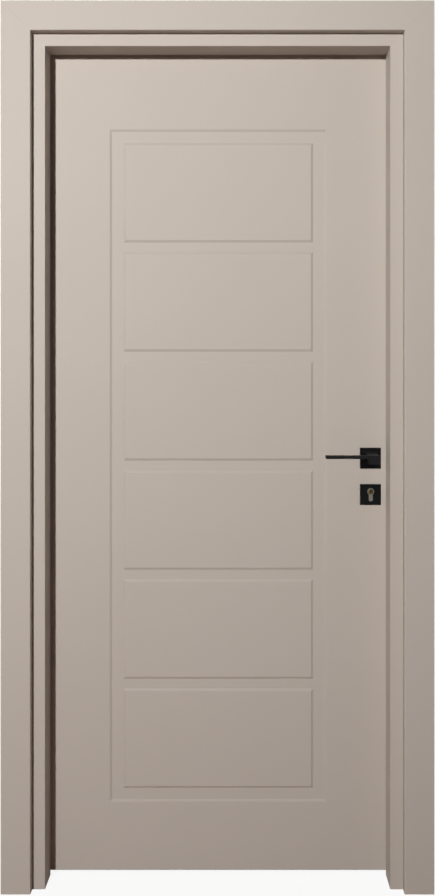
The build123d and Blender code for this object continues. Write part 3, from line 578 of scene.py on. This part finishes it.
WHITE = "#FFFFFF"
FLOOR_SIZE = 14
FLOOR_PAINT = "#EDEBE8"
FLOOR_BOUNCE = "#987A74"
FLOOR_GLOW = 0.9
FLOOR_GLOSS = 0.3
FILL = 0.018
FRONT_GLOSS = 0.06
SOFT_TURN = 0.3


def seen_rays(tree, camera_level, gloss_level):
    """Level for rays that see the background, from the camera or by way of a glossy surface."""
    rays = add(tree, "LightPath").outputs
    glossy, through = rays["Is Glossy Ray"], rays["Is Transmission Ray"]
    off = add(tree, "Math", {0: glossy, 1: through}, operation="MAXIMUM")
    off = add(tree, "Math", {0: off, 1: gloss_level}, operation="MULTIPLY")
    seen = add(tree, "Math", {0: rays["Is Camera Ray"], 1: camera_level}, operation="MULTIPLY")
    return add(tree, "Math", {0: off, 1: seen}, operation="MAXIMUM")


bpy.ops.object.select_all(action="DESELECT")
bpy.ops.mesh.primitive_plane_add(size=FLOOR_SIZE)
floor = bpy.context.object
floor.name = "studio_floor"

# The floor looks pale, but throws a darker and warmer light back on the door
floor_paint = new_finish("pale_floor_paint", FLOOR_PAINT, Roughness=0.8)
soft_rays = add(floor_paint, "LightPath").outputs["Is Diffuse Ray"]
floor_tones = {"Factor": soft_rays, "A": linear(FLOOR_PAINT), "B": linear(FLOOR_BOUNCE)}
link(floor_paint, Base_Color=add(floor_paint, "Mix", floor_tones, data_type="RGBA"))
share = seen_rays(floor_paint, FLOOR_GLOW, FLOOR_GLOSS)
glow = add(floor_paint, "Emission", {"Color": linear(WHITE), "Strength": 1})
paint = floor_paint.node_tree.nodes["Principled BSDF"]
mixed = add(floor_paint, "MixShader", {0: share, 1: paint, 2: glow})
output = floor_paint.node_tree.nodes["Material Output"]
floor_paint.node_tree.links.new(first_output(mixed), output.inputs["Surface"])
floor.data.materials.append(floor_paint)

# Rays that light the door find only a faint, even fill in the room
studio = bpy.data.worlds.new("studio")
bpy.context.scene.world = studio
studio.use_nodes = True
direction = add(studio, "TexCoord").outputs["Generated"]
depth = add(studio, "SeparateXYZ", {"Vector": direction}).outputs["Y"]
front_to_back = {"From Min": -SOFT_TURN, "From Max": SOFT_TURN, "To Min": FRONT_GLOSS, "To Max": 1}
backdrop = add(studio, "MapRange", {"Value": depth, **front_to_back})
level = seen_rays(studio, 1, backdrop)
level = add(studio, "Math", {0: level, 1: FILL}, operation="MAXIMUM")
sky = studio.node_tree.nodes["Background"]
sky.inputs["Color"].default_value = linear(WHITE)
studio.node_tree.links.new(first_output(level), sky.inputs["Strength"])


def lamp(name, place, target, size, power):
    """Round area lamp aimed at a point."""
    bpy.ops.object.light_add(type="AREA", location=place)
    made = bpy.context.object
    made.name = name
    made.data.shape = "DISK"
    made.data.size = size
    made.data.energy = power
    made.rotation_euler = (Vector(target) - Vector(place)).to_track_quat("-Z", "Y").to_euler()
    return made


SIDE_DISTANCE, SIDE_HEIGHT, SIDE_AIM = 3.6, 1.6, 1.1
SIDE_LAMP = {"target": (0, FRAME_MIDDLE, SIDE_AIM), "size": 0.25, "power": 70}
TOP_HEIGHT = 4.2
TOP_LAMP = {"target": (0, FRAME_MIDDLE, 0), "size": 0.25, "power": 32}
key_lamp = lamp("key_lamp", place=(-1.059, -3.40, 2.529), target=(0, 0, 1.5), size=0.18, power=146)
back_lamp = lamp("back_lamp", place=(1.2, 3.0, 2.5), target=(0, 0, 1.2), size=0.8, power=118)
left_lamp = lamp("left_lamp", place=(-SIDE_DISTANCE, FRAME_MIDDLE, SIDE_HEIGHT), **SIDE_LAMP)
right_lamp = lamp("right_lamp", place=(SIDE_DISTANCE, FRAME_MIDDLE, SIDE_HEIGHT), **SIDE_LAMP)
top_lamp = lamp("top_lamp", place=(0, FRAME_MIDDLE, TOP_HEIGHT), **TOP_LAMP)

# The key lamp's light passes the handles, as the photograph shows none of their shadow on the leaf.
# A lamp of their own shades the lever against its rosette.
HANDLE_LAMP = {"target": (0.38, 0, 1.04), "size": 0.5, "power": 45}
handle_lamp = lamp("handle_lamp", place=(0.55, -2.5, 2.3), **HANDLE_LAMP)
bpy.ops.object.select_all(action="DESELECT")
for part in ("handle_rosette", "key_rosette", "lever"):
    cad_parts[f"push_side_{part}"].select_set(True)
bpy.context.view_layer.objects.active = key_lamp
bpy.ops.object.light_linking_blockers_link(link_state="EXCLUDE")
bpy.ops.object.light_linking_receivers_link(link_state="EXCLUDE")
bpy.context.view_layer.objects.active = handle_lamp
bpy.ops.object.light_linking_receivers_link(link_state="INCLUDE")

# The other lamps stay off the floor, so that it throws back the key lamp's light only
bpy.ops.object.select_all(action="DESELECT")
floor.select_set(True)
for fill_lamp in (back_lamp, left_lamp, right_lamp, top_lamp):
    bpy.context.view_layer.objects.active = fill_lamp
    bpy.ops.object.light_linking_receivers_link(link_state="EXCLUDE")

# The side lamps pass the levers, whose flat tops would mirror them as white
bpy.ops.object.select_all(action="DESELECT")
for room in ("push", "pull"):
    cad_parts[f"{room}_side_lever"].select_set(True)
for side_lamp in (left_lamp, right_lamp):
    bpy.context.view_layer.objects.active = side_lamp
    bpy.ops.object.light_linking_receivers_link(link_state="EXCLUDE")

# Camera: level, square to the door and a little right of its middle, with the frame shifted as the
# photograph is framed.

CAMERA_PLACE = (0.0422, -2.296, 1.2676)
IMAGE_W, IMAGE_H = 435, 896
FOCAL_PIXELS = 913.96
VANISHING_X, VANISHING_Y = 235, 368.4
bpy.ops.object.camera_add(location=CAMERA_PLACE, rotation=(math.pi / 2, 0, 0))
camera = bpy.context.object
camera.data.sensor_fit = "VERTICAL"
camera.data.lens = camera.data.sensor_height * FOCAL_PIXELS / IMAGE_H
camera.data.shift_x = (IMAGE_W / 2 - VANISHING_X) / IMAGE_H
camera.data.shift_y = (VANISHING_Y - IMAGE_H / 2) / IMAGE_H
bpy.context.scene.camera = camera
bpy.context.scene.view_settings.view_transform = "Standard"
